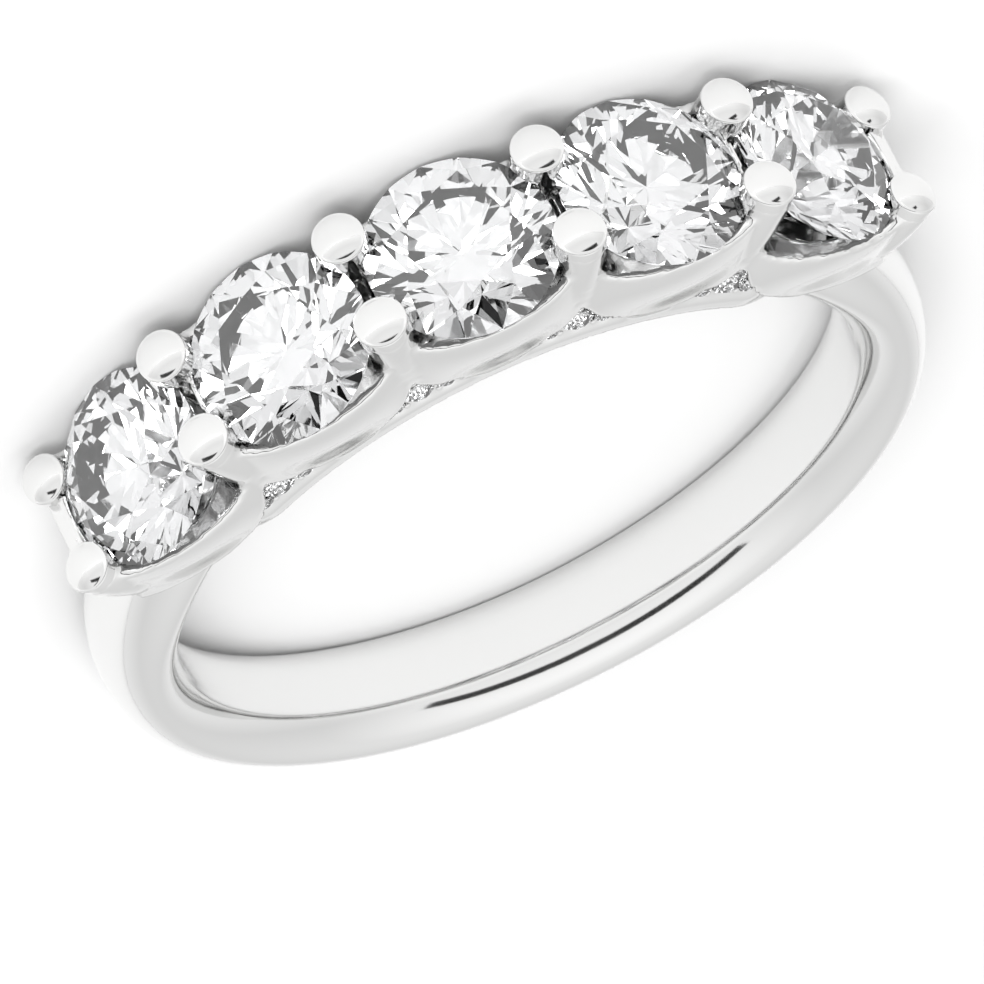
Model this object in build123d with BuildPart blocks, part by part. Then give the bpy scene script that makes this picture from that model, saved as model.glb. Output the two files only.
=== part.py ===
"""Five-stone half eternity ring: a rounded band with a scalloped shared-claw head.

The ring's own frame has its finger axis along Z, the middle stone toward +Y and the
stones in a row along X. The finished pieces are then leaned about X by the small angle
at which the ring rests on its side, with the origin kept at the centre of the finger hole.
"""
from build123d import *
import math
import os

os.makedirs("parts", exist_ok=True)

# Finger hole and band, in millimetres and degrees
finger_diameter = 16.7
band_thickness_base = 1.62
band_thickness_shoulder = 1.76
band_width_base = 2.72
band_width_shoulder = 3.06
band_neck_width = 2.46
band_tuck_width = 2.20

# Main stones, a row of round brilliants on one arc
stone_count = 5
stone_diameter = 4.30
stone_gap = 0.19
girdle_thickness = 0.07
girdle_height = 3.79
row_arc_radius = 11.60

# Cut of a brilliant, as angles and shares that every stone follows
table_share = 0.56
crown_angle = 34.5
pavilion_angle = 41.4
star_share = 0.50
lower_half_share = 0.77
cut_sides = 8

# Gallery round the finger hole: a rail at its foot and the wall under the stones
gallery_step = 23.4
gallery_height = 2.20
field_width = 2.72
rail_height = 0.60
rail_width_inside = 2.74
rail_width_outside = 2.90

# Ribbon cups, whose lower edges are round scallops seen from the side
cup_lean_share = 0.50
cup_length = 4.24
rim_drop = 0.50
end_rim_drop = 1.00
rim_width = 3.98
rim_corner_width = 3.06
foot_width = 3.06
foot_corner_width = 2.94
scallop_radius = 2.58
scallop_sink = 0.03
end_scallop_radius = 2.80
end_scallop_angle = 42.6
light_hole_top = 3.20
light_hole_bottom = 2.00

# Claws, a pair between each two stones and a pair at each end of the row
claw_diameter = 1.20
claw_cap = 0.25
claw_rise = 0.84
claw_spread = 1.11
claw_gather = 0.98
claw_root_spread = 0.96
claw_root_height = 1.30
end_claw_diameter = 1.14
end_claw_rise = 0.54
end_claw_spread = 1.17
end_claw_root_spread = 1.05
end_wall_drop = 0.45
end_wall_thickness = 0.46
end_wall_inset = 0.10
end_wall_width = 2.90

# Small stones, three in each field below a claw
accent_diameter = 0.72
side_accent_diameter = 0.44
accent_height = 1.06
side_accent_height = 0.88
accent_spacing = 0.64
accent_girdle = 0.03

# Room between a stone and the metal that holds it, a seat a little steeper than the stone
seat_clearance = 0.03
seat_angle = 43.2

bore_radius = finger_diameter / 2
rail_radius = bore_radius + rail_height
girdle_radius = stone_diameter / 2
claw_radius = claw_diameter / 2
end_claw_radius = end_claw_diameter / 2
arc_centre = bore_radius + girdle_height - row_arc_radius
stone_step = math.degrees(2 * math.asin((stone_diameter + stone_gap) / 2 / row_arc_radius))
last_stone = (stone_count - 1) / 2

# Sections of the band from its base to the shoulder. Columns: angle from the base, share
# of the way from base size to shoulder size. A neck and a tuck under the head follow them.
band_sections = [
    (0, 0.00),
    (45, 0.25),
    (80, 0.70),
    (100, 0.95),
    (114, 1.00),
]
band_neck_angle = 130
band_tuck_angle = 141
band_centre_share = 0.47


def polar(radius, angle):
    """A point of the mid plane, angle degrees round the finger from the middle stone."""
    turn = math.radians(angle)
    return (radius * math.sin(turn), radius * math.cos(turn))


def on_row(steps, rise):
    """A point of the mid plane, some stone steps along the row and above its girdles."""
    x, y = polar(row_arc_radius + rise, steps * stone_step)
    return (x, arc_centre + y)


def leaning_plane(point, angle, rise=0):
    """A plane across an axis through a point: X along the row, Y across the band, Z outward."""
    turn = math.radians(angle)
    out = Vector(math.sin(turn), math.cos(turn), 0)
    return Plane(
        origin=Vector(*point) + out * rise,
        x_dir=(math.cos(turn), -math.sin(turn), 0),
        z_dir=out,
    )


def stone_plane(steps):
    """The girdle plane of a main stone."""
    return leaning_plane(on_row(steps, 0), steps * stone_step)


def cup_plane(steps, rise):
    """A plane across a cup, some way above or below the middle of its stone's girdle."""
    return leaning_plane(on_row(steps, 0), steps * gallery_step * cup_lean_share, rise)


def mid_plane(plane):
    """The ring's mid plane seen from a leaning plane: X along the row, Y outward."""
    return Plane(origin=plane.origin, x_dir=plane.x_dir, z_dir=-plane.y_dir)


def scallop_centre(steps):
    """The middle of a scallop's circle, whose lowest point is sunk a little in the rail."""
    return polar(rail_radius + scallop_radius - scallop_sink, steps * gallery_step)


def foot_depth(steps):
    """How far the rail lies below a stone's girdle, along the lean of its cup."""
    frame = cup_plane(steps, 0)
    along = -(frame.origin.X * frame.z_dir.X + frame.origin.Y * frame.z_dir.Y)
    across = frame.origin.X * frame.x_dir.X + frame.origin.Y * frame.x_dir.Y
    return -along - math.sqrt(rail_radius**2 - across**2)


def radial_plane(angle):
    """A section plane of the band, angle degrees round from its base, X pointing outward."""
    turn = math.radians(angle)
    outward = (math.sin(turn), -math.cos(turn), 0)
    along = (math.cos(turn), math.sin(turn), 0)
    return Plane(origin=(0, 0, 0), x_dir=outward, z_dir=along)


def band():
    """The rounded band, lofted through oval sections and tucked into the head at both ends."""
    sections = []
    for angle, grow in band_sections:
        thickness = band_thickness_base + grow * (band_thickness_shoulder - band_thickness_base)
        width = band_width_base + grow * (band_width_shoulder - band_width_base)
        sections.append((angle, thickness, width))
    sections.append((band_neck_angle, band_thickness_shoulder, band_neck_width))
    sections.append((band_tuck_angle, band_thickness_shoulder, band_tuck_width))
    mirrored = [(-angle, thickness, width) for angle, thickness, width in reversed(sections[1:])]
    with BuildPart() as shank:
        for angle, thickness, width in mirrored + sections:
            with BuildSketch(radial_plane(angle)):
                with Locations((bore_radius + band_centre_share * thickness, 0)):
                    Ellipse((1 - band_centre_share) * thickness, width / 2)
        loft()
    return shank.part


def gallery():
    """The wall under the stones and the wider rail at its foot, along the finger hole."""
    inside = bore_radius - rail_height / 2
    outside = bore_radius + gallery_height
    reach = 180 - band_tuck_angle + gallery_step / 10
    with BuildPart() as wall:
        with BuildSketch(Plane.XZ):
            with Locations(((rail_radius + outside) / 2, 0)):
                Rectangle(outside - rail_radius, field_width)
            with BuildLine():
                Polyline(
                    (inside, -rail_width_inside / 2),
                    (bore_radius, -rail_width_inside / 2),
                    (rail_radius, -rail_width_outside / 2),
                    (rail_radius, rail_width_outside / 2),
                    (bore_radius, rail_width_inside / 2),
                    (inside, rail_width_inside / 2),
                    close=True,
                )
            make_face()
        revolve(axis=Axis.Z)
        with BuildSketch(Plane.XY):
            with BuildLine():
                Polyline(
                    (0, 0),
                    polar(3 * bore_radius, -reach),
                    polar(3 * bore_radius, reach),
                    close=True,
                )
            make_face()
        extrude(amount=stone_diameter, both=True, mode=Mode.INTERSECT)
    return wall.part


def barrel_outline(middle_width, corner_width):
    """A barrel outline: arcs across the front and back, straight at both ends."""
    end = cup_length / 2
    side = corner_width / 2
    bulge = middle_width / 2
    with BuildSketch() as outline:
        with BuildLine():
            front = ThreePointArc((-end, side), (0, bulge), (end, side))
            back = ThreePointArc((-end, -side), (0, -bulge), (end, -side))
            Line(front @ 0, back @ 0)
            Line(front @ 1, back @ 1)
        make_face()
    return outline.sketch


def ribbon_cup(steps):
    """A flared cup under one stone, its lower edge rounded to a scallop."""
    depth = foot_depth(steps)
    drop = end_rim_drop if abs(steps) == last_stone else rim_drop
    climb = (depth - drop) / (depth - rim_drop)
    width = foot_width + climb * (rim_width - foot_width)
    corner = foot_corner_width + climb * (rim_corner_width - foot_corner_width)
    below = depth + rail_height
    with BuildPart() as cup:
        with BuildSketch(cup_plane(steps, -below)):
            add(barrel_outline(foot_width, foot_corner_width))
        with BuildSketch(cup_plane(steps, -depth)):
            add(barrel_outline(foot_width, foot_corner_width))
        with BuildSketch(cup_plane(steps, -drop)):
            add(barrel_outline(width, corner))
        loft(ruled=True)
        with BuildSketch(Plane.XY):
            with Locations(scallop_centre(steps)):
                Circle(scallop_radius)
        extrude(amount=stone_diameter, both=True, mode=Mode.INTERSECT)
    return cup.part


def field_cut(steps, face):
    """The space below a claw, between two scallops and the rail, in front of the gallery."""
    left = scallop_centre(steps - 0.5)
    right = scallop_centre(steps + 0.5)
    with BuildPart() as space:
        with BuildSketch(Plane.XY.offset(face * field_width / 2)):
            with BuildLine():
                Polyline((0, 0), left, right, close=True)
            make_face()
            Circle(rail_radius, mode=Mode.SUBTRACT)
            with Locations(left, right):
                Circle(scallop_radius, mode=Mode.SUBTRACT)
        extrude(amount=face * stone_diameter)
    return space.part


def end_cut(side):
    """The space past the last scallop, between it and the rail."""
    start = side * end_scallop_angle
    far = 2 * rail_radius
    with BuildPart() as space:
        with BuildSketch(Plane.XY):
            with BuildLine():
                Polyline(
                    (0, 0),
                    polar(rail_radius + end_scallop_radius / 2, start),
                    polar(far, start + side * gallery_step),
                    polar(far, side * 90),
                    close=True,
                )
            make_face()
            Circle(rail_radius, mode=Mode.SUBTRACT)
            with Locations(polar(rail_radius + end_scallop_radius, start)):
                Circle(end_scallop_radius, mode=Mode.SUBTRACT)
        extrude(amount=stone_diameter, both=True)
    return space.part


def claw_axis(steps):
    """Tip and root of a claw's middle line, seen from the side."""
    last = abs(steps) > last_stone
    tip = on_row(steps * claw_gather, end_claw_rise if last else claw_rise)
    root = polar(bore_radius + claw_root_height, steps * gallery_step)
    return Vector(*tip, 0), Vector(*root, 0)


def claw(steps, face):
    """A round claw from its root in the cups to its low domed tip."""
    last = abs(steps) > last_stone
    radius = end_claw_radius if last else claw_radius
    tip, root = claw_axis(steps)
    tip += Vector(0, 0, face * (end_claw_spread if last else claw_spread))
    root += Vector(0, 0, face * (end_claw_root_spread if last else claw_root_spread))
    reach = tip - root
    dome = (radius**2 + claw_cap**2) / (2 * claw_cap)
    start = math.degrees(math.asin((dome - claw_cap) / dome))
    with BuildPart() as prong:
        with BuildSketch(mid_plane(Plane(origin=tip, x_dir=(-reach.Y, reach.X, 0), z_dir=reach))):
            with BuildLine():
                Line((0, claw_cap), (0, -reach.length))
                Line((0, -reach.length), (radius, -reach.length))
                Line((radius, -reach.length), (radius, 0))
                CenterArc((0, claw_cap - dome), dome, start, 90 - start)
            make_face()
        revolve(axis=Axis(tip, reach))
    return prong.part


def end_wall(side):
    """The wall between the two claws at one end of the row."""
    tip, root = claw_axis(side * (last_stone + 0.5))
    reach = tip - root
    with BuildPart() as wall:
        with BuildSketch(Plane(origin=tip, x_dir=(reach.Y, -reach.X, 0), z_dir=(0, 0, 1))):
            outer = end_claw_radius - end_wall_inset
            with Locations((side * (outer - end_wall_thickness / 2), -end_wall_drop)):
                Rectangle(
                    end_wall_thickness,
                    reach.length - end_wall_drop,
                    align=(Align.CENTER, Align.MAX),
                )
        extrude(amount=end_wall_width / 2, both=True)
    return wall.part


def stone_room(steps):
    """The room that a stone needs in the claws, with its clearance, as one turned body."""
    radius = girdle_radius + seat_clearance
    rim = girdle_thickness / 2 + seat_clearance
    crown = (1 - table_share) * girdle_radius * math.tan(math.radians(crown_angle))
    depth = radius * math.tan(math.radians(seat_angle))
    plane = stone_plane(steps)
    with BuildPart() as room:
        with BuildSketch(mid_plane(plane)):
            with BuildLine():
                Polyline(
                    (0, -rim - depth),
                    (radius, -rim),
                    (radius, rim),
                    (table_share * girdle_radius, rim + crown),
                    (0, rim + crown),
                    close=True,
                )
            make_face()
        revolve(axis=Axis(plane.origin, plane.z_dir))
    return room.part


def light_hole(steps):
    """The tapered hole that lets light to a stone, open to the finger hole."""
    depth = foot_depth(steps)
    with BuildPart() as hole:
        with BuildSketch(cup_plane(steps, 0)):
            Circle(light_hole_top / 2)
        with BuildSketch(cup_plane(steps, -rim_drop)):
            Circle(light_hole_top / 2)
        with BuildSketch(cup_plane(steps, -depth)):
            Circle(light_hole_bottom / 2)
        with BuildSketch(cup_plane(steps, -depth - bore_radius / 2)):
            Circle(light_hole_bottom / 2)
        loft(ruled=True)
    return hole.part


def accent_places():
    """Places of the small stones with their diameters, field by field, front then back."""
    places = []
    for face in (1, -1):
        for field in range(stone_count - 1):
            angle = (field - last_stone + 0.5) * gallery_step
            for along, height, diameter in (
                (-accent_spacing, side_accent_height, side_accent_diameter),
                (0, accent_height, accent_diameter),
                (accent_spacing, side_accent_height, side_accent_diameter),
            ):
                floor = leaning_plane(polar(bore_radius + height, angle), angle)
                spot = floor.origin + floor.x_dir * along + Vector(0, 0, face * field_width / 2)
                places.append((Plane(origin=spot, z_dir=(0, 0, face)), diameter))
    return places


def accent_seat(place, diameter):
    """The tapered seat of a small stone."""
    radius = diameter / 2 + seat_clearance
    depth = radius * math.tan(math.radians(pavilion_angle)) + accent_girdle
    with BuildPart() as seat:
        with BuildSketch(mid_plane(place)):
            with BuildLine():
                Polyline((0, -depth), (radius, -accent_girdle), (radius, depth), (0, depth), close=True)
            make_face()
        revolve(axis=Axis(place.origin, place.z_dir))
    return seat.part


def facet(radius, height, azimuth, inner_radius, inner_height):
    """A facet's plane, from a point at its outer edge to another on its middle line."""
    turn = math.radians(azimuth)
    out = Vector(math.cos(turn), math.sin(turn), 0)
    along = Vector(-math.sin(turn), math.cos(turn), 0)
    low = out * radius + Vector(0, 0, height)
    high = out * inner_radius + Vector(0, 0, inner_height)
    return Plane(origin=low, x_dir=along, z_dir=along.cross(high - low))


def three_point_plane(first, second, third):
    """The plane through three points."""
    return Plane(origin=first, x_dir=second - first, z_dir=(second - first).cross(third - first))


def round_point(radius, azimuth, height):
    """A point round a stone's axis."""
    turn = math.radians(azimuth)
    return Vector(radius * math.cos(turn), radius * math.sin(turn), height)


def brilliant(diameter, girdle, full_cut):
    """A round brilliant, its girdle in the XY plane and its table up, cut facet by facet."""
    radius = diameter / 2
    edge = girdle / 2
    sector = 360 / cut_sides
    half_cos = math.cos(math.radians(sector / 2))
    crown_slope = math.tan(math.radians(crown_angle))
    pavilion_slope = math.tan(math.radians(pavilion_angle))
    table_radius = table_share * radius
    table_height = edge + (radius - table_radius) * crown_slope
    culet = edge + radius * pavilion_slope
    table_edge = table_radius * half_cos
    star_tip = table_edge + star_share * (radius - table_edge)
    star_height = edge + (radius - star_tip * half_cos) * crown_slope
    lower_tip = (1 - lower_half_share) * radius
    lower_height = -edge - (radius - lower_tip * half_cos) * pavilion_slope
    with BuildPart() as stone:
        with BuildSketch(Plane.XY.offset(-culet)):
            Circle(radius)
        extrude(amount=culet + table_height)
        for side in range(cut_sides):
            azimuth = side * sector
            split(bisect_by=facet(radius, edge, azimuth, table_radius, table_height), keep=Keep.BOTTOM)
            split(bisect_by=facet(radius, -edge, azimuth, 0, -culet), keep=Keep.TOP)
            if full_cut:
                middle = azimuth + sector / 2
                star = facet(star_tip, star_height, middle, table_edge, table_height)
                split(bisect_by=star, keep=Keep.BOTTOM)
                for tip in (azimuth, azimuth + sector):
                    upper = three_point_plane(
                        round_point(star_tip, middle, star_height),
                        round_point(radius, tip, edge),
                        round_point(radius, middle, edge),
                    )
                    lower = three_point_plane(
                        round_point(lower_tip, middle, lower_height),
                        round_point(radius, tip, -edge),
                        round_point(radius, middle, -edge),
                    )
                    first = tip == azimuth
                    split(bisect_by=upper, keep=Keep.BOTTOM if first else Keep.TOP)
                    split(bisect_by=lower, keep=Keep.TOP if first else Keep.BOTTOM)
    return stone.part


def resting_lean():
    """The lean at which the end stones' girdles and the band's base touch one flat surface."""
    girdle_height_end = on_row(last_stone, 0)[1]
    base = bore_radius + band_centre_share * band_thickness_base
    return math.degrees(math.atan((girdle_radius - band_width_base / 2) / (girdle_height_end + base)))


rest_plane = Plane.XY.rotated((resting_lean(), 0, 0))
stone_steps = [index - last_stone for index in range(stone_count)]
claw_steps = [index - last_stone - 0.5 for index in range(stone_count + 1)]
field_steps = claw_steps[1:-1]

# The head: gallery, cups and claws, with the fields and the ends cut back
with BuildPart() as head:
    add(gallery())
    for steps in stone_steps:
        add(ribbon_cup(steps))
    for side in (-1, 1):
        add(end_wall(side))
    for steps in claw_steps:
        for face in (1, -1):
            add(claw(steps, face))
    for steps in field_steps:
        for face in (1, -1):
            add(field_cut(steps, face), mode=Mode.SUBTRACT)
    for side in (-1, 1):
        add(end_cut(side), mode=Mode.SUBTRACT)

# The metal, soldered into one piece, with the finger hole, light holes and seats
with BuildPart() as metal:
    add(band())
    add(head.part)
    with BuildSketch(Plane.XY):
        Circle(bore_radius)
    extrude(amount=2 * finger_diameter, both=True, mode=Mode.SUBTRACT)
    for steps in stone_steps:
        add(light_hole(steps), mode=Mode.SUBTRACT)
        add(stone_room(steps), mode=Mode.SUBTRACT)
    for place, diameter in accent_places():
        add(accent_seat(place, diameter), mode=Mode.SUBTRACT)

with BuildPart(rest_plane) as band_and_setting:
    add(metal.part)
band_and_setting.part.label = "band_and_setting"
export_step(band_and_setting.part, "parts/band_and_setting.step")

# The main stones, numbered along the row
main_cut = brilliant(stone_diameter, girdle_thickness, full_cut=True)
for number, steps in enumerate(stone_steps, start=1):
    with BuildPart(rest_plane * stone_plane(steps)) as main_stone:
        add(main_cut)
    main_stone.part.label = f"main_stone_{number}"
    export_step(main_stone.part, f"parts/main_stone_{number}.step")

# The small stones, numbered field by field
accent_cuts = {
    size: brilliant(size, accent_girdle, full_cut=False)
    for size in (accent_diameter, side_accent_diameter)
}
for number, (place, diameter) in enumerate(accent_places(), start=1):
    with BuildPart(rest_plane * place) as accent_stone:
        add(accent_cuts[diameter])
    accent_stone.part.label = f"accent_stone_{number:02d}"
    export_step(accent_stone.part, f"parts/accent_stone_{number:02d}.step")

print("resting lean", round(resting_lean(), 3), "degrees")
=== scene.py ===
"""Half eternity ring: a smooth band, a cast claw setting and cut diamonds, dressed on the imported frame.

Shapes are worked out in millimetres in the ring's own frame: finger axis along Z, middle stone
toward +Y, row of stones along X. They are then leaned about X as the ring rests on its side.
"""

import math
from types import SimpleNamespace

import bmesh
import bpy
import numpy as np
from bpy.props import FloatProperty, FloatVectorProperty, IntProperty, PointerProperty
from mathutils import Matrix, Vector


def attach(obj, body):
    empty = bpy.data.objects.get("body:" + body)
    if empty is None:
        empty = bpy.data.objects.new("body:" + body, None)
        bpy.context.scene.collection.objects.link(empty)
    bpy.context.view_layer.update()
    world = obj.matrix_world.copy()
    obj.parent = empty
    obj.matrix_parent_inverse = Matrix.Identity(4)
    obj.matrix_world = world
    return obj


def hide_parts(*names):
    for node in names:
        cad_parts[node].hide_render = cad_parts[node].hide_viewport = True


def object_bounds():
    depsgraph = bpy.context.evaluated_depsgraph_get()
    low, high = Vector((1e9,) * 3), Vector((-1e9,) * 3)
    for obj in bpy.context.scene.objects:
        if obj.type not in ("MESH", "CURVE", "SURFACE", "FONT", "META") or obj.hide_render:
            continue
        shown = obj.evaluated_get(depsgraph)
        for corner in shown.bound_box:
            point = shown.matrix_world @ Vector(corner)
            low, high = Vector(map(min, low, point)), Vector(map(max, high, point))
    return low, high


bl_info = {
    "name": "Half Eternity Ring",
    "version": (1, 0, 0),
    "blender": (4, 5, 0),
    "location": "3D View > Sidebar > Ring",
    "description": "Band, claw setting and diamonds of a half eternity ring, with a studio stage",
    "category": "Add Mesh",
}

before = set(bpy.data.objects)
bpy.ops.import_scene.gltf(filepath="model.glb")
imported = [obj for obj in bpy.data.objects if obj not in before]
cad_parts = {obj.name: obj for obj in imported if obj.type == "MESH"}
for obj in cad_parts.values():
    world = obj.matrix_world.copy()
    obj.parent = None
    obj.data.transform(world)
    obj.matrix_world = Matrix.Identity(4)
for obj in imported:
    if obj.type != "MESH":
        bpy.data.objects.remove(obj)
CAD_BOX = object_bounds()
MM = 0.001

CORNERS = ((-1, -1), (1, -1), (1, 1), (-1, 1))
POINT_RADIUS = 0.004  # width that a turned piece keeps where it comes to a point
SOFTEN_PULLS = (0.55, -0.57)  # a pull toward the neighbours, and one back that keeps the volume
DIAMOND_IOR = 2.417
FLOOR_GAP = 0.000002  # in metres, so that the floor stays clear of the ring

# The band from its base to its end inside the setting: degrees from the base, and how much of the way
# from the base's size to the shoulder's it has gone there. Sizes are averaged over the blend, in degrees.
BAND_STATIONS = (0, 45, 80, 100, 114, 130, 141)
BAND_GROWTH = (0.0, 0.25, 0.70, 0.95, 1.0, 1.0, 1.0)
BAND_BLEND = 9

HALF_GIRDLE = 0.035  # half the height of a main stone's girdle
SCALLOP_SINK = 0.03  # how far a scallop's circle reaches into the rail
COLUMN_SHARE, END_COLUMN_SHARE = 0.80, 0.60  # how far down its line a claw's cast column goes

# Middles of a field's grains: distance along the row and height over the finger hole.
GRAIN_SPOTS = ((-0.34, 1.30), (0.34, 1.30), (-0.40, 0.72), (0.40, 0.72), (0.0, 1.56))
GRAIN_FLATNESS = 0.7

# The camera that fits the ring's outlines: two axes of its picture, and its place in millimetres.
CAMERA_RIGHT = Vector((0.90611, -0.08154, 0.41512))
CAMERA_DOWN = Vector((-0.41043, -0.40728, 0.81588))
CAMERA_PLACE = Vector((-37.22631, 326.30233, 144.55554))

# The soft lights: name, place and width in metres, and the stage's property with its power.
LIGHTS = (
    ("key_light", (-0.10, 0.30, 0.20), 0.20, "key_power"),
    ("back_light", (0.10, -0.30, 0.22), 0.20, "fill_power"),
    ("side_light", (0.30, 0.10, 0.16), 0.16, "fill_power"),
    ("top_light", (0.0, 0.02, 0.36), 0.30, "top_power"),
)
CARD_PLACE = Vector((-0.030, 0.212, 0.212))  # middle of the dark card over the lens, in metres
CARD_ALONG = Vector((1.0, 0.11, 0.0))  # the direction in which it is long

# Greys of the tent, from the horizon to overhead and from beside the ring to behind the lens.
HEIGHT_SHADES = ((0.0, 0.74), (0.30, 0.62), (0.65, 0.68), (1.0, 0.76))
SIDE_SHADES = ((0.10, 0.82), (0.65, 1.0))


def length(label, about, millimetres):
    """A length property, stored in metres."""
    return FloatProperty(
        name=label, description=about, default=millimetres * MM, min=0.0, precision=5, unit="LENGTH"
    )


def share(label, about, value):
    """A property between nothing and all."""
    return FloatProperty(name=label, description=about, default=value, min=0.0, max=1.0, subtype="FACTOR")


def angle(label, about, degrees):
    """An angle property, stored in radians."""
    return FloatProperty(name=label, description=about, default=math.radians(degrees), unit="ROTATION")


def colour(label, about, value):
    """A colour property."""
    return FloatVectorProperty(
        name=label, description=about, default=value, size=3, min=0.0, max=1.0, subtype="COLOR"
    )


def number(label, about, value, unit="NONE"):
    """A plain number's property, with a unit where one fits."""
    return FloatProperty(name=label, description=about, default=value, min=0.0, unit=unit)


class BandSizes(bpy.types.PropertyGroup):
    """Sizes of the finger hole and the band."""

    finger_diameter: length("Finger diameter", "Width of the finger hole", 16.7)
    base_thickness: length("Base thickness", "Band thickness opposite the stones", 1.62)
    shoulder_thickness: length("Shoulder thickness", "Band thickness near the setting", 1.76)
    base_width: length("Base width", "Band width opposite the stones", 2.72)
    shoulder_width: length("Shoulder width", "Band width near the setting", 3.06)
    neck_width: length("Neck width", "Band width where it goes under the setting", 2.46)
    tuck_width: length("Tuck width", "Band width inside the setting", 2.20)
    middle_share: share("Middle", "Height of the widest line in the thickness", 0.47)
    lean: angle("Resting lean", "Lean at which the ring lies on its side", 2.526)


class RowSizes(bpy.types.PropertyGroup):
    """Sizes of the row of main stones."""

    count: IntProperty(name="Stones", description="Number of main stones", default=5, min=2)
    diameter: length("Stone diameter", "Width of a main stone", 4.30)
    gap: length("Stone gap", "Gap between neighbouring stones", 0.19)
    girdle_height: length("Girdle height", "Height of the middle stone's girdle over the hole", 3.79)
    row_radius: length("Row radius", "Radius of the arc of the row", 11.60)
    seat_clearance: length("Seat clearance", "Room between a stone and its seat", 0.03)
    seat_angle: angle("Seat angle", "Slope of the seat under the girdle", 42.5)


class SettingSizes(bpy.types.PropertyGroup):
    """Sizes of the claw setting."""

    step: angle("Gallery step", "Turn round the finger from one scallop to the next", 23.4)
    gallery_height: length("Gallery height", "Height of the wall under the stones", 2.20)
    field_width: length("Field width", "Width of the wall that carries the small stones", 2.72)
    rail_height: length("Rail height", "Height of the rail along the finger hole", 0.60)
    rail_inside: length("Rail inside", "Rail width at the finger hole", 2.74)
    rail_outside: length("Rail outside", "Rail width at its outer edge", 2.90)
    end_taper: share("End taper", "Share of its width that the rail loses where it meets the band", 0.22)
    scallop_radius: length("Scallop radius", "Radius of a ribbon's round lower edge", 2.58)
    cup_length: length("Cup length", "Length of a cup along the row", 4.24)
    rim_drop: length("Rim drop", "Depth of a ribbon's upper edge below the girdle", 0.50)
    end_rim_drop: length("End rim drop", "The same at both ends of the row", 0.86)
    corner_rise: length("Corner rise", "How far a ribbon's upper edge climbs at a claw", 0.42)
    corner_start: share("Corner start", "Share of the half length where the edge starts to climb", 0.52)
    rim_width: length("Rim width", "Width of a cup at its upper edge", 3.94)
    rim_corner: length("Rim corner width", "The same below a claw", 3.06)
    bulge: length("Bulge", "How far a ribbon swells outward half way up", 0.12)
    foot_width: length("Foot width", "Width of a cup at the rail", 2.98)
    foot_corner: length("Foot corner width", "The same below a claw", 2.84)
    hole_top: length("Light hole top", "Width of a light hole under the stone", 3.20)
    hole_bottom: length("Light hole bottom", "Width of a light hole at the finger", 2.00)
    voxel: length("Casting detail", "Grid size of the cast surface", 0.075)


class ClawSizes(bpy.types.PropertyGroup):
    """Sizes of the claws and end walls."""

    diameter: length("Claw diameter", "Width of a claw's cap", 1.20)
    cap: length("Cap height", "Height of a claw's domed cap", 0.18)
    rise: length("Claw rise", "Height of a cap's edge over the girdles", 0.92)
    spread: length("Claw spread", "Distance of a claw's tip from the mid plane", 1.11)
    root_spread: length("Root spread", "The same at a claw's root", 1.12)
    root_height: length("Root height", "Height of the roots over the finger hole", 1.30)
    end_diameter: length("End claw diameter", "Width of a cap at the ends of the row", 1.14)
    end_rise: length("End claw rise", "Rise of the claws at the ends of the row", 0.62)
    end_spread: length("End claw spread", "Spread of the claws at the ends of the row", 1.17)
    end_root_spread: length("End root spread", "The same at their roots", 1.19)
    column_shift: length("Column shift", "How far a cast column stands outside its cap", 0.015)
    crown_reach: length("Crown reach", "Length of the crisp part below a cap's edge", 0.42)
    gather: share("Gather", "How far the tips follow the row's step", 0.98)
    wall_drop: length("End wall drop", "Depth of an end wall below its claws' edges", 0.45)
    wall_thickness: length("End wall thickness", "Thickness of an end wall", 0.46)
    wall_inset: length("End wall inset", "How far an end wall is set in from the claws", 0.10)
    wall_width: length("End wall width", "Width of an end wall", 2.90)
    wall_foot: length("End wall foot", "Width of an end wall where it meets the band", 2.36)


class AccentSizes(bpy.types.PropertyGroup):
    """Sizes of the small stones' fields."""

    diameter: length("Accent diameter", "Width of a field's middle stone", 0.72)
    side_diameter: length("Side accent diameter", "Width of a field's side stones", 0.44)
    height: length("Accent height", "Height of a middle stone over the finger hole", 1.06)
    side_height: length("Side accent height", "Height of a side stone over the finger hole", 0.88)
    spacing: length("Accent spacing", "Distance of a side stone from the middle one", 0.64)
    grain: length("Grain diameter", "Width of a grain that holds the small stones", 0.17)


class Finishes(bpy.types.PropertyGroup):
    """Colours and polish."""

    metal: colour("Metal", "Colour of the white metal", (0.84, 0.84, 0.835))
    polish: share("Metal roughness", "Roughness of the polished metal", 0.10)
    diamond: colour("Diamond", "Colour of the diamonds", (0.985, 0.99, 1.0))
    floor: colour("Floor", "Colour of the studio floor", (0.47, 0.47, 0.47))


class StageSizes(bpy.types.PropertyGroup):
    """Camera and lights."""

    focal_length: number("Focal length", "Camera lens in mm", 589.2, unit="CAMERA")
    floor_size: length("Floor size", "Width of the floor", 900)
    key_power: number("Key power", "Power of the main light", 2.5, unit="POWER")
    fill_power: number("Fill power", "Power of the back and side lights", 0.12, unit="POWER")
    top_power: number("Top power", "Power of the overhead light", 0.70, unit="POWER")
    sky_strength: number("Sky strength", "Strength of the room's light", 1.50)
    card_length: length("Card length", "Length of the dark card over the lens", 700)
    card_width: length("Card width", "Width of the dark card over the lens", 60)


def polar(radius, degrees):
    """A point of the ring's mid plane, some degrees round the finger from the middle stone."""
    turn = math.radians(degrees)
    return Vector((radius * math.sin(turn), radius * math.cos(turn), 0.0))


def beside(out):
    """The direction in the mid plane that is square to another one."""
    return Vector((out.y, -out.x, 0))


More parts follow.
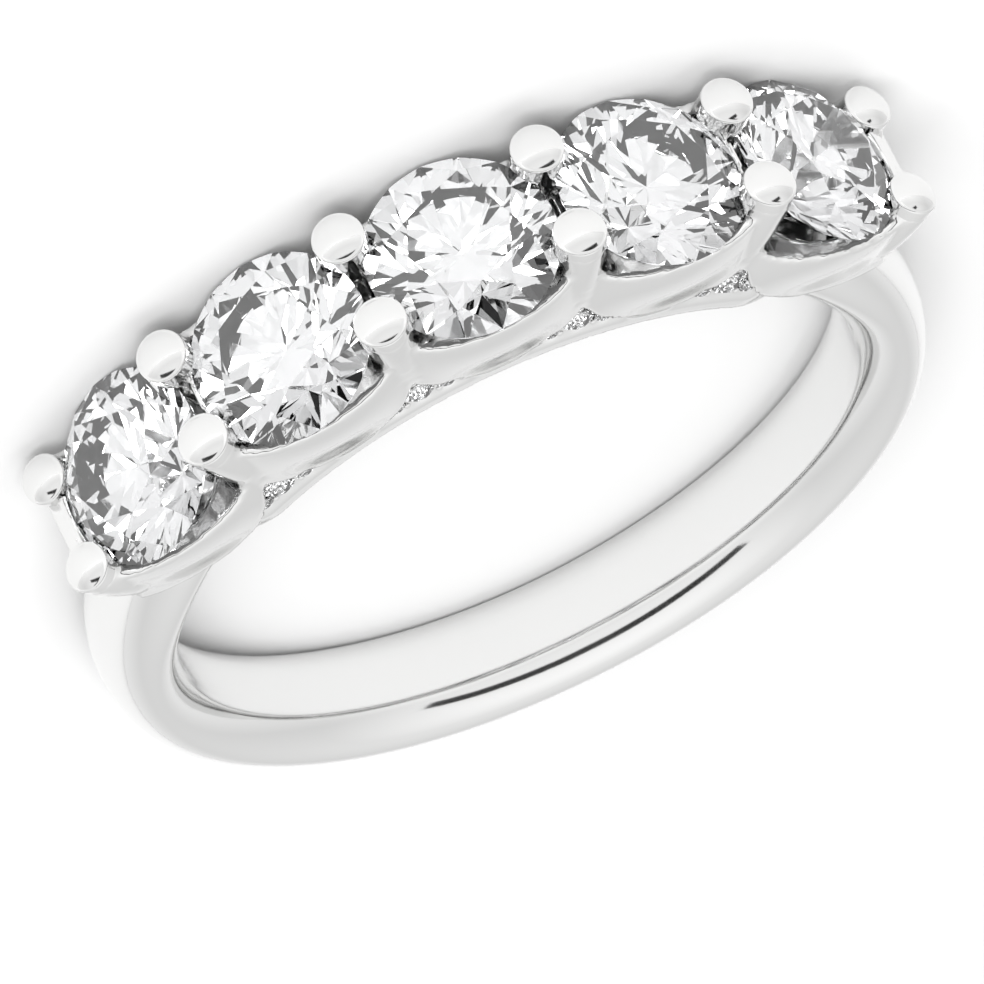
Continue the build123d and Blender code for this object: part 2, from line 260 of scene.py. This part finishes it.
def millimetres(group):
    """A property group's lengths in millimetres, its angles in degrees and its shares as they are."""
    values = {}
    for key, prop in group.bl_rna.properties.items():
        if prop.type not in {"FLOAT", "INT"} or getattr(prop, "is_array", False):
            continue
        value = getattr(group, key)
        if prop.unit == "LENGTH":
            value /= MM
        if prop.unit == "ROTATION":
            value = math.degrees(value)
        values[key] = value
    return SimpleNamespace(**values)


class Row:
    """The places of stones, cups and claws, worked out from the sizes.

    A place along the row is given in steps, counted in stones from the middle of the row.
    """

    def __init__(self, scene):
        self.band = millimetres(scene.ring_band)
        self.row = millimetres(scene.ring_row)
        self.setting = millimetres(scene.ring_setting)
        self.claws = millimetres(scene.ring_claws)
        self.accents = millimetres(scene.ring_accents)
        self.bore = self.band.finger_diameter / 2
        self.rail = self.bore + self.setting.rail_height
        self.last = (self.row.count - 1) / 2
        self.centre = self.bore + self.row.girdle_height - self.row.row_radius
        pitch = (self.row.diameter + self.row.gap) / 2 / self.row.row_radius
        self.stone_step = math.degrees(2 * math.asin(pitch))
        self.lean = Matrix.Rotation(math.radians(self.band.lean), 4, "X")
        self.to_row_frame = self.lean @ Matrix.Scale(MM, 4)

    def stones(self):
        """Steps of the stones along the row."""
        return [index - self.last for index in range(self.row.count)]

    def claw_steps(self):
        """Steps of the claw pairs along the row."""
        return [index - self.last - 0.5 for index in range(self.row.count + 1)]

    def field_steps(self):
        """Steps of the small stones' fields, one between each two main stones."""
        return self.claw_steps()[1:-1]

    def on_row(self, steps, rise=0.0):
        """A point above the row's girdles."""
        return Vector((0, self.centre, 0)) + polar(self.row.row_radius + rise, steps * self.stone_step)

    def stone_axis(self, steps):
        """The direction in which a stone faces."""
        return polar(1.0, steps * self.stone_step)

    def cup_axis(self, steps):
        """The direction in which a cup opens, half way between the rail's and its stone's."""
        return polar(1.0, steps * self.setting.step * 0.5)

    def scallop_centre(self, steps):
        """The middle of a scallop's circle."""
        return polar(self.rail + self.setting.scallop_radius - SCALLOP_SINK, steps * self.setting.step)

    def foot_depth(self, steps):
        """Depth of the rail below a stone's girdle, along its cup."""
        out = self.cup_axis(steps)
        place = self.on_row(steps)
        return place.dot(out) - math.sqrt(self.rail**2 - place.dot(beside(out)) ** 2)

    def claw_line(self, steps):
        """Tip and root of a claw's middle line in the mid plane."""
        ends = abs(steps) > self.last
        tip = self.on_row(steps * self.claws.gather, self.claws.end_rise if ends else self.claws.rise)
        root = polar(self.bore + self.claws.root_height, steps * self.setting.step)
        return tip, root

    def on_side(self, steps, along, height, face):
        """A point on one side of the wall, given from the middle of a field."""
        out = polar(1.0, steps * self.setting.step)
        spot = out * (self.bore + height) + beside(out) * along
        spot.z = face * self.setting.field_width / 2
        return spot

    def accent_places(self):
        """Place, facing and diameter of each small stone."""
        a = self.accents
        places = []
        for face in (1, -1):
            for field in self.field_steps():
                for side in (-1, 0, 1):
                    height = a.side_height if side else a.height
                    width = a.side_diameter if side else a.diameter
                    places.append((self.on_side(field, side * a.spacing, height, face), face, width))
        return places


def loft(bm, sections):
    """Skins closed sections one after another and caps both ends."""
    rings = [[bm.verts.new(point) for point in section] for section in sections]
    for lower, upper in zip(rings, rings[1:]):
        for index in range(len(lower)):
            after = (index + 1) % len(lower)
            bm.faces.new((lower[index], lower[after], upper[after], upper[index]))
    bm.faces.new(rings[0][::-1])
    bm.faces.new(rings[-1])


def turned(bm, origin, axis, profile, around=40):
    """Turns a profile of (radius, height) pairs round an axis."""
    side = axis.cross(Vector((0, 0, 1)))
    if side.length < 1e-6:
        side = Vector((1, 0, 0))
    side.normalize()
    other = axis.cross(side).normalized()
    sections = []
    for radius, height in profile:
        middle = origin + axis * height
        sections.append(
            [
                middle + (side * math.cos(turn) + other * math.sin(turn)) * max(radius, POINT_RADIUS)
                for turn in (index * 2 * math.pi / around for index in range(around))
            ]
        )
    loft(bm, sections)


def turned_mesh(name, pieces, around):
    """One mesh of turned pieces, each given as its origin, axis and profile."""
    bm = bmesh.new()
    for origin, axis, profile in pieces:
        turned(bm, origin, axis, profile, around)
    return finished_mesh(name, bm)


def finished_mesh(name, bm):
    """A mesh with its faces turned outward."""
    bmesh.ops.recalc_face_normals(bm, faces=bm.faces)
    mesh = bpy.data.meshes.new(name)
    bm.to_mesh(mesh)
    bm.free()
    return mesh


def applied(mesh, kind, **settings):
    """A mesh after one modifier."""
    helper = bpy.data.objects.new("helper", mesh)
    bpy.context.scene.collection.objects.link(helper)
    modifier = helper.modifiers.new(kind.lower(), kind)
    for key, value in settings.items():
        setattr(modifier, key, value)
    graph = bpy.context.evaluated_depsgraph_get()
    graph.update()
    result = bpy.data.meshes.new_from_object(helper.evaluated_get(graph), depsgraph=graph)
    bpy.data.objects.remove(helper)
    return result


def carved(mesh, room):
    """A mesh after one room is cut out of it."""
    cutter = bpy.data.objects.new("room", room)
    bpy.context.scene.collection.objects.link(cutter)
    result = applied(mesh, "BOOLEAN", operation="DIFFERENCE", object=cutter, solver="MANIFOLD")
    bpy.data.objects.remove(cutter)
    return result


def soften(mesh, rounds):
    """Rounds a dense mesh like a casting after polishing, and keeps its volume."""
    count = len(mesh.vertices)
    points = np.zeros(count * 3)
    mesh.vertices.foreach_get("co", points)
    points = points.reshape(-1, 3)
    edges = np.zeros(len(mesh.edges) * 2, dtype=np.int64)
    mesh.edges.foreach_get("vertices", edges)
    first, second = edges[0::2], edges[1::2]
    valence = np.bincount(first, minlength=count) + np.bincount(second, minlength=count)
    valence = np.maximum(valence, 1)
    for _ in range(rounds):
        for pull in SOFTEN_PULLS:
            mean = np.empty_like(points)
            for k in range(3):
                mean[:, k] = np.bincount(first, points[second, k], count)
                mean[:, k] += np.bincount(second, points[first, k], count)
            points += pull * (mean / valence[:, None] - points)
    mesh.vertices.foreach_set("co", points.ravel())
    mesh.update()


def polish_group():
    """Faint wear of a polished surface: its roughness and a very fine unevenness."""
    name = "polish_wear"
    if name in bpy.data.node_groups:
        return bpy.data.node_groups[name]
    tree = bpy.data.node_groups.new(name, "ShaderNodeTree")
    face = tree.interface
    for label, default in (("Scale", 300.0), ("Roughness", 0.1), ("Variation", 0.03), ("Relief", 0.02)):
        face.new_socket(label, in_out="INPUT", socket_type="NodeSocketFloat").default_value = default
    face.new_socket("Roughness", in_out="OUTPUT", socket_type="NodeSocketFloat")
    face.new_socket("Height", in_out="OUTPUT", socket_type="NodeSocketFloat")
    nodes, links = tree.nodes, tree.links
    given = nodes.new("NodeGroupInput")
    made = nodes.new("NodeGroupOutput")
    place = nodes.new("ShaderNodeTexCoord")
    noise = nodes.new("ShaderNodeTexNoise")
    noise.inputs["Detail"].default_value = 4.0
    links.new(place.outputs["Object"], noise.inputs["Vector"])
    links.new(given.outputs["Scale"], noise.inputs["Scale"])
    centred = nodes.new("ShaderNodeMath")
    centred.operation = "SUBTRACT"
    centred.inputs[1].default_value = 0.5
    links.new(noise.outputs["Fac"], centred.inputs[0])
    spread = nodes.new("ShaderNodeMath")
    spread.operation = "MULTIPLY_ADD"
    links.new(centred.outputs[0], spread.inputs[0])
    links.new(given.outputs["Variation"], spread.inputs[1])
    links.new(given.outputs["Roughness"], spread.inputs[2])
    relief = nodes.new("ShaderNodeMath")
    relief.operation = "MULTIPLY"
    links.new(centred.outputs[0], relief.inputs[0])
    links.new(given.outputs["Relief"], relief.inputs[1])
    links.new(spread.outputs[0], made.inputs["Roughness"])
    links.new(relief.outputs[0], made.inputs["Height"])
    return tree


def with_polish(material, scale, roughness, variation, relief):
    """Places the polish group in a material and feeds its shader."""
    nodes, links = material.node_tree.nodes, material.node_tree.links
    shader = nodes["Principled BSDF"]
    group = nodes.new("ShaderNodeGroup")
    group.node_tree = polish_group()
    group.inputs["Scale"].default_value = scale
    group.inputs["Roughness"].default_value = roughness
    group.inputs["Variation"].default_value = variation
    group.inputs["Relief"].default_value = relief
    bump = nodes.new("ShaderNodeBump")
    bump.inputs["Strength"].default_value = 0.25
    bump.inputs["Distance"].default_value = 0.00002
    links.new(group.outputs["Roughness"], shader.inputs["Roughness"])
    links.new(group.outputs["Height"], bump.inputs["Height"])
    links.new(bump.outputs["Normal"], shader.inputs["Normal"])


def new_material(name, values):
    """A new material with plain values on its shader's sockets."""
    material = bpy.data.materials.new(name)
    material.use_nodes = True
    shader = material.node_tree.nodes["Principled BSDF"]
    for socket, value in values.items():
        shader.inputs[socket].default_value = value
    return material


def metal_material(scene):
    """Polished white metal."""
    name = "polished_white_gold"
    if name in bpy.data.materials:
        return bpy.data.materials[name]
    finishes = scene.ring_finishes
    material = new_material(name, {"Base Color": (*finishes.metal, 1.0), "Metallic": 1.0})
    with_polish(material, scale=900.0, roughness=finishes.polish, variation=0.05, relief=0.5)
    return material


def diamond_material(scene, name):
    """Clear cut diamond."""
    if name in bpy.data.materials:
        return bpy.data.materials[name]
    values = {
        "Base Color": (*scene.ring_finishes.diamond, 1.0),
        "Transmission Weight": 1.0,
        "IOR": DIAMOND_IOR,
        "Roughness": 0.0,
    }
    return new_material(name, values)


def place_metal(name, mesh, row, crisp=None):
    """Links a mesh as a metal piece of the resting ring; edges above the crisp angle stay sharp."""
    mesh.transform(row.to_row_frame)
    mesh.shade_smooth()
    if crisp is not None:
        mesh.set_sharp_from_angle(angle=math.radians(crisp))
    mesh.materials.clear()
    mesh.materials.append(metal_material(bpy.context.scene))
    piece = bpy.data.objects.new(name, mesh)
    bpy.context.scene.collection.objects.link(piece)
    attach(piece, "root")
    return piece


def band_section(sizes, bore, degrees):
    """The band's outline at one angle from its base, as distances from the finger axis and mid plane."""
    wide = [sizes.base_width + part * (sizes.shoulder_width - sizes.base_width) for part in BAND_GROWTH]
    wide[-2:] = [sizes.neck_width, sizes.tuck_width]
    more = sizes.shoulder_thickness - sizes.base_thickness
    thick = [sizes.base_thickness + part * more for part in BAND_GROWTH]
    near = np.abs(degrees + np.linspace(-BAND_BLEND, BAND_BLEND, 19))
    width = float(np.interp(near, BAND_STATIONS, wide).mean())
    thickness = float(np.interp(near, BAND_STATIONS, thick).mean())
    middle = bore + sizes.middle_share * thickness
    reach = (1 - sizes.middle_share) * thickness
    edge = math.acos((bore - middle) / reach)
    points = []
    for turn in np.linspace(-edge, edge, 45):
        points.append((middle + reach * math.cos(turn), width / 2 * math.sin(turn)))
    rim = points[-1][1]
    for across in np.linspace(rim, -rim, 8)[1:-1]:
        points.append((bore, float(across)))
    return points


class RING_OT_band(bpy.types.Operator):
    """Builds the smooth rounded band."""

    bl_idname = "ring.band"
    bl_label = "Band"

    def execute(self, context):
        row = Row(context.scene)
        end = BAND_STATIONS[-1]
        sections = []
        for degrees in np.linspace(-end, end, 189):
            turn = math.radians(degrees)
            out = Vector((math.sin(turn), -math.cos(turn), 0))
            outline = band_section(row.band, row.bore, degrees)
            sections.append([out * r + Vector((0, 0, z)) for r, z in outline])
        bm = bmesh.new()
        loft(bm, sections)
        piece = place_metal("band", finished_mesh("band", bm), row, crisp=40)
        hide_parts("band_and_setting")
        return {"FINISHED"}


def gallery_sections(row):
    """The wall under the stones with the rail at its foot, swept round the finger."""
    s = row.setting
    wall = s.field_width / 2
    top = row.bore + s.gallery_height
    bevel_height, bevel_width = 0.08, 0.05
    half = [
        (row.bore, s.rail_inside / 2),
        (row.rail - bevel_height, s.rail_outside / 2),
        (row.rail, s.rail_outside / 2 - bevel_width),
        (row.rail, wall),
        (top, wall),
    ]
    outline = [(r, -z) for r, z in half] + half[::-1]
    run_on, taper_length = 1.5, 7.5  # in degrees, past the last stones and back from there
    taper_curve = 1.5
    reach = row.last * s.step + run_on
    sections = []
    for degrees in np.linspace(-reach, reach, 97):
        near_end = max(0.0, 1 - (reach - abs(degrees)) / taper_length)
        slim = 1 - s.end_taper * near_end**taper_curve
        sections.append([polar(1.0, degrees) * r + Vector((0, 0, z * slim)) for r, z in outline])
    return sections


def cup_sections(row, steps):
    """A flared cup under one stone, whose lower edge is round seen from the side."""
    s = row.setting
    out = row.cup_axis(steps)
    along = beside(out)
    place = row.on_row(steps)
    depth = row.foot_depth(steps)
    drop = s.end_rim_drop if abs(steps) == row.last else s.rim_drop
    centre = row.scallop_centre(steps)
    middle = (centre - place).dot(along)
    margin, swell_curve = 0.02, 1.4
    start = max(-s.cup_length / 2, middle - s.scallop_radius + margin)
    finish = min(s.cup_length / 2, middle + s.scallop_radius - margin)
    sections = []
    for x in np.linspace(start, finish, 45):
        outer = (2 * x / s.cup_length) ** 2
        base = place + along * float(x)
        ahead = (base - centre).dot(out)
        half_chord = math.sqrt(s.scallop_radius**2 - (x - middle) ** 2)
        front, back = [], []
        climbs = max(0.0, (abs(2 * x / s.cup_length) - s.corner_start) / (1 - s.corner_start))
        rim = drop - s.corner_rise * climbs**2
        for level in np.linspace(ahead + half_chord, max(rim, ahead - half_chord), 12):
            climb = (depth - level) / (depth - s.rim_drop)
            wide = s.foot_width + climb * (s.rim_width - s.foot_width)
            corner = s.foot_corner + climb * (s.rim_corner - s.foot_corner)
            swell = s.bulge * (1 - outer) * math.sin(math.pi * min(max(climb, 0), 1) ** swell_curve)
            half = (wide + outer * (corner - wide)) / 2 + swell
            point = base - out * float(level)
            front.append(point + Vector((0, 0, half)))
            back.append(point - Vector((0, 0, half)))
        sections.append(front + back[::-1])
    return sections


def claw_profile(radius, cap, reach):
    """A claw's profile: a straight column with a crisp shoulder and a low domed cap."""
    shoulder = 0.055
    flat = radius - shoulder
    dome = (flat**2 + cap**2) / (2 * cap)
    profile = [(radius, -reach)]
    for part in np.linspace(0, 1, 7)[:-1]:
        turn = part * math.pi / 2
        profile.append((flat + shoulder * math.cos(turn), shoulder * (math.sin(turn) - 1)))
    for turn in np.linspace(math.asin(flat / dome), 0, 14):
        profile.append((dome * math.sin(turn), dome * math.cos(turn) - dome + cap))
    return profile


def column_profile(radius, reach):
    """The cast column under a claw, slimmer toward its foot."""
    top, slimming = 0.24, 0.30
    profile = []
    for part in np.linspace(1.0, 0.0, 14):
        profile.append((radius * (1.0 - slimming * part**2), -top - part * (reach - top)))
    return profile


def claw_axes(row):
    """Tip, direction, length and radius of each claw."""
    c = row.claws
    axes = []
    for steps in row.claw_steps():
        ends = abs(steps) > row.last
        spread, root_spread = (c.end_spread, c.end_root_spread) if ends else (c.spread, c.root_spread)
        diameter, part = (c.end_diameter, END_COLUMN_SHARE) if ends else (c.diameter, COLUMN_SHARE)
        for face in (1, -1):
            tip, root = row.claw_line(steps)
            tip.z, root.z = face * spread, face * root_spread
            line = tip - root
            axes.append((tip, line.normalized(), line.length * part, diameter / 2))
    return axes


def end_wall_sections(row, side):
    """Upper and lower outline of the wall between the two claws at one end of the row."""
    c = row.claws
    tip, root = row.claw_line(side * (row.last + 0.5))
    up = (tip - root).normalized()
    across = beside(up) * side
    outer = c.end_diameter / 2 - c.wall_inset
    inner = outer - c.wall_thickness
    sections = []
    for level, width in ((c.wall_drop, c.wall_width), ((tip - root).length, c.wall_foot)):
        corners = ((outer, width / 2), (outer, -width / 2), (inner, -width / 2), (inner, width / 2))
        sections.append([tip - up * level + across * x + Vector((0, 0, z)) for x, z in corners])
    return sections


def arc_points(centre, start, finish, count):
    """Points on the shorter arc round a centre from one point to another, in the mid plane."""
    first, last = start - centre, finish - centre
    begin = math.atan2(first.y, first.x)
    turn = math.atan2(first.cross(last).z, first.dot(last))
    return [
        centre + Vector((math.cos(begin + turn * k), math.sin(begin + turn * k), 0)) * first.length
        for k in np.linspace(0, 1, count)
    ]


def field_outline(row, steps):
    """The outline of a small field between two scallops and the rail."""
    radius = row.setting.scallop_radius
    left, right = row.scallop_centre(steps - 0.5), row.scallop_centre(steps + 0.5)
    half = (right - left).length / 2
    apex = (left + right) / 2 - polar(1.0, steps * row.setting.step) * math.sqrt(radius**2 - half**2)
    start, finish = left.normalized() * row.rail, right.normalized() * row.rail
    points = arc_points(left, left - left.normalized() * radius, apex, 14)
    points += arc_points(right, apex, right - right.normalized() * radius, 14)[1:]
    points += arc_points(Vector((0, 0, 0)), finish, start, 10)[1:-1]
    return points


def setting_solid(row):
    """All that is cast in one: gallery, cups, claws and end walls."""
    bm = bmesh.new()
    loft(bm, gallery_sections(row))
    for steps in row.stones():
        loft(bm, cup_sections(row, steps))
    for tip, axis, reach, radius in claw_axes(row):
        outward = Vector((0, 0, math.copysign(row.claws.column_shift, tip.z)))
        turned(bm, tip + outward, axis, column_profile(radius, reach))
    for side in (-1, 1):
        loft(bm, end_wall_sections(row, side))
    return finished_mesh("setting_solid", bm)


def stone_rooms(row):
    """The rooms that the main stones take in their claws and cups."""
    r = row.row
    radius = r.diameter / 2 + r.seat_clearance
    rim = HALF_GIRDLE + r.seat_clearance
    depth = radius * math.tan(math.radians(r.seat_angle))
    table, crown = radius * 0.55, rim + 0.66
    profile = [(0, -rim - depth), (radius, -rim), (radius, rim), (table, crown), (0, crown)]
    pieces = [(row.on_row(steps), row.stone_axis(steps), profile) for steps in row.stones()]
    return turned_mesh("stone_rooms", pieces, around=96)


def light_holes(row):
    """The tapered holes from the finger hole up to the main stones."""
    bottom, top = row.setting.hole_bottom / 2, row.setting.hole_top / 2
    beyond = 1.6
    pieces = []
    for steps in row.stones():
        depth = row.foot_depth(steps)
        profile = [(bottom, -depth - beyond), (bottom, -depth), (top, -row.setting.rim_drop)]
        pieces.append((row.on_row(steps), row.cup_axis(steps), profile))
    return turned_mesh("light_holes", pieces, around=64)


def field_rooms(row):
    """The sunk fields in both sides of the wall."""
    bm = bmesh.new()
    for steps in row.field_steps():
        outline = field_outline(row, steps)
        for face in (1, -1):
            low = Vector((0, 0, face * row.setting.field_width / 2))
            loft(bm, [[p + low for p in outline], [p + low * 2 for p in outline]])
    return finished_mesh("field_rooms", bm)


def accent_seats(row):
    """The seats of the small stones."""
    depth_share, flare = 0.86, 1.03
    sink, beyond = 0.02, 0.2
    pieces = []
    for spot, face, width in row.accent_places():
        radius = width / 2 + row.row.seat_clearance
        profile = [(0, -radius * depth_share), (radius, -sink), (radius * flare, beyond)]
        pieces.append((spot, Vector((0, 0, face)), profile))
    return turned_mesh("accent_seats", pieces, around=24)


class RING_OT_setting(bpy.types.Operator):
    """Builds the cast claw setting with its seats and light holes."""

    bl_idname = "ring.setting"
    bl_label = "Setting"

    def execute(self, context):
        row = Row(context.scene)
        voxel = row.setting.voxel
        mesh = applied(setting_solid(row), "REMESH", mode="VOXEL", voxel_size=voxel)
        soften(mesh, rounds=4)
        for room in (stone_rooms(row), light_holes(row), field_rooms(row), accent_seats(row)):
            mesh = carved(mesh, room)
        mesh = applied(mesh, "REMESH", mode="VOXEL", voxel_size=voxel)
        soften(mesh, rounds=5)
        piece = place_metal("setting", mesh, row)
        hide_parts("band_and_setting")
        return {"FINISHED"}


class RING_OT_claws(bpy.types.Operator):
    """Builds the crisp upper parts of the claws with their low domed caps."""

    bl_idname = "ring.claws"
    bl_label = "Claws"

    def execute(self, context):
        row = Row(context.scene)
        cap, crown = row.claws.cap, row.claws.crown_reach
        pieces = [(tip, axis, claw_profile(radius, cap, crown)) for tip, axis, _, radius in claw_axes(row)]
        mesh = carved(turned_mesh("claws", pieces, around=64), stone_rooms(row))
        place_metal("claws", mesh, row, crisp=35)
        return {"FINISHED"}


class RING_OT_grains(bpy.types.Operator):
    """Builds the small grains that hold the accent stones."""

    bl_idname = "ring.grains"
    bl_label = "Grains"

    def execute(self, context):
        row = Row(context.scene)
        flat = Matrix.Diagonal((1, 1, GRAIN_FLATNESS, 1))
        radius = row.accents.grain / 2
        bm = bmesh.new()
        for face in (1, -1):
            for field in row.field_steps():
                for along, height in GRAIN_SPOTS:
                    place = Matrix.Translation(row.on_side(field, along, height, face)) @ flat
                    bmesh.ops.create_uvsphere(bm, u_segments=16, v_segments=10, radius=radius, matrix=place)
        place_metal("grains", finished_mesh("grains", bm), row)
        return {"FINISHED"}


class RING_OT_stones(bpy.types.Operator):
    """Gives the cut stones their diamond finish."""

    bl_idname = "ring.stones"
    bl_label = "Stones"

    def execute(self, context):
        main = diamond_material(context.scene, "main_diamond_finish")
        accent = diamond_material(context.scene, "accent_diamond_finish")
        for name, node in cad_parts.items():
            if "stone" in name:
                node.data.materials.clear()
                node.data.materials.append(main if name.startswith("main") else accent)
                node.data.shade_flat()
        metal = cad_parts["band_and_setting"]
        metal.data.materials.clear()
        metal.data.materials.append(metal_material(context.scene))
        return {"FINISHED"}


def add_light(name, place, width, power):
    """A square soft light that faces the ring and isn't mirrored in it."""
    lamp = bpy.data.lights.new(name, "AREA")
    lamp.shape = "SQUARE"
    lamp.size = width
    lamp.energy = power
    holder = bpy.data.objects.new(name, lamp)
    bpy.context.scene.collection.objects.link(holder)
    holder.location = place
    holder.visible_glossy = False
    holder.rotation_mode = "QUATERNION"
    holder.rotation_quaternion = (-Vector(place)).to_track_quat("-Z", "Y")


def add_sheet(name, place, along, across, material):
    """A flat sheet of the stage, given by its middle and the halves of its two sides."""
    bm = bmesh.new()
    bm.faces.new([bm.verts.new(place + along * x + across * y) for x, y in CORNERS])
    sheet = bpy.data.objects.new(name, finished_mesh(name, bm))
    bpy.context.scene.collection.objects.link(sheet)
    sheet.data.materials.append(material)
    return sheet


def add_floor(size, shade):
    """The pale floor just under the ring."""
    paper = new_material("pale_floor", {"Base Color": (*shade, 1.0), "Roughness": 0.7})
    level = Vector((0, 0, CAD_BOX[0].z - FLOOR_GAP))
    add_sheet("floor", level, Vector((size / 2, 0, 0)), Vector((0, size / 2, 0)), paper)


def add_card(card_length, card_width):
    """A dark card that faces the ring and gives polished edges a thin dark reflection."""
    paper = new_material("dark_paper", {"Base Color": (0.015, 0.015, 0.015, 1.0), "Roughness": 0.9})
    out = CARD_PLACE.normalized()
    along = (CARD_ALONG - out * out.dot(CARD_ALONG)).normalized()
    across = out.cross(along)
    card = add_sheet("dark_card", CARD_PLACE, along * card_length / 2, across * card_width / 2, paper)
    card.visible_diffuse = False
    card.visible_shadow = False


def add_camera(row, focal_length):
    """The camera at the photograph's angle to the resting ring."""
    scene = bpy.context.scene
    forward = CAMERA_RIGHT.cross(CAMERA_DOWN).normalized()
    down = forward.cross(CAMERA_RIGHT).normalized()
    axes = Matrix((CAMERA_RIGHT, -down, -forward)).transposed().to_4x4()
    lens = bpy.data.cameras.new("camera")
    lens.sensor_width = 36.0
    lens.lens = focal_length
    lens.clip_start, lens.clip_end = 0.01, 5.0
    camera = bpy.data.objects.new("camera", lens)
    scene.collection.objects.link(camera)
    camera.matrix_world = row.lean @ Matrix.Translation(CAMERA_PLACE * MM) @ axes
    scene.camera = camera


def add_shades(tree, direction, shades):
    """A grey ramp over the angle from one direction of the room."""
    toward = tree.nodes.new("ShaderNodeVectorMath")
    toward.operation = "DOT_PRODUCT"
    toward.inputs[1].default_value = direction
    tree.links.new(tree.nodes["Texture Coordinate"].outputs["Generated"], toward.inputs[0])
    chosen = tree.nodes.new("ShaderNodeValToRGB")
    for index, (position, grey) in enumerate(shades):
        stops = chosen.color_ramp.elements
        stop = stops[index] if index < 2 else stops.new(position)
        stop.position, stop.color = position, (grey, grey, grey, 1.0)
    tree.links.new(toward.outputs["Value"], chosen.inputs["Fac"])
    return chosen.outputs["Color"]


def studio_world(strength, front):
    """A pale tent, brighter overhead and on the side of the lens."""
    world = bpy.data.worlds.new("studio")
    world.use_nodes = True
    tree = world.node_tree
    tree.nodes["Background"].inputs["Strength"].default_value = strength
    tree.nodes.new("ShaderNodeTexCoord")
    height = add_shades(tree, (0, 0, 1), HEIGHT_SHADES)
    sides = add_shades(tree, front, SIDE_SHADES)
    both = tree.nodes.new("ShaderNodeVectorMath")
    both.operation = "MULTIPLY"
    tree.links.new(height, both.inputs[0])
    tree.links.new(sides, both.inputs[1])
    tree.links.new(both.outputs["Vector"], tree.nodes["Background"].inputs["Color"])
    return world


class RING_OT_stage(bpy.types.Operator):
    """Sets the floor, the soft lights and the camera."""

    bl_idname = "ring.stage"
    bl_label = "Stage"

    def execute(self, context):
        scene = context.scene
        stage = scene.ring_stage
        row = Row(scene)
        add_floor(stage.floor_size, scene.ring_finishes.floor)
        add_camera(row, stage.focal_length)
        for name, place, width, power in LIGHTS:
            add_light(name, place, width, getattr(stage, power))
        front = row.lean.to_3x3() @ CAMERA_PLACE.normalized()
        scene.world = studio_world(stage.sky_strength, front)
        add_card(stage.card_length, stage.card_width)
        scene.view_settings.view_transform = "Standard"
        return {"FINISHED"}


class RING_PT_panel(bpy.types.Panel):
    """Lists the ring's builders and sizes in the sidebar."""

    bl_label = "Half Eternity Ring"
    bl_idname = "RING_PT_panel"
    bl_space_type = "VIEW_3D"
    bl_region_type = "UI"
    bl_category = "Ring"

    def draw(self, context):
        layout = self.layout
        for operator in OPERATORS:
            layout.operator(operator.bl_idname)
        for attribute in GROUPS:
            group = getattr(context.scene, attribute)
            box = layout.box()
            box.label(text=attribute.replace("_", " "))
            for key in group.bl_rna.properties.keys():
                if key not in {"rna_type", "name"}:
                    box.prop(group, key)


GROUPS = {
    "ring_band": BandSizes,
    "ring_row": RowSizes,
    "ring_setting": SettingSizes,
    "ring_claws": ClawSizes,
    "ring_accents": AccentSizes,
    "ring_finishes": Finishes,
    "ring_stage": StageSizes,
}
OPERATORS = (RING_OT_band, RING_OT_setting, RING_OT_claws, RING_OT_grains, RING_OT_stones, RING_OT_stage)


def register():
    """Adds the sizes, the builders and the panel."""
    for group in GROUPS.values():
        bpy.utils.register_class(group)
    for attribute, group in GROUPS.items():
        setattr(bpy.types.Scene, attribute, PointerProperty(type=group))
    for operator in (*OPERATORS, RING_PT_panel):
        bpy.utils.register_class(operator)


def unregister():
    """Removes them all."""
    for operator in (*OPERATORS, RING_PT_panel):
        bpy.utils.unregister_class(operator)
    for attribute in GROUPS:
        delattr(bpy.types.Scene, attribute)
    for group in GROUPS.values():
        bpy.utils.unregister_class(group)


def main():
    """Builds the ring and its stage."""
    register()
    bpy.ops.ring.band()
    bpy.ops.ring.setting()
    bpy.ops.ring.claws()
    bpy.ops.ring.grains()
    bpy.ops.ring.stones()
    bpy.ops.ring.stage()
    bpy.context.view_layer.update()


if __name__ == "__main__":
    main()
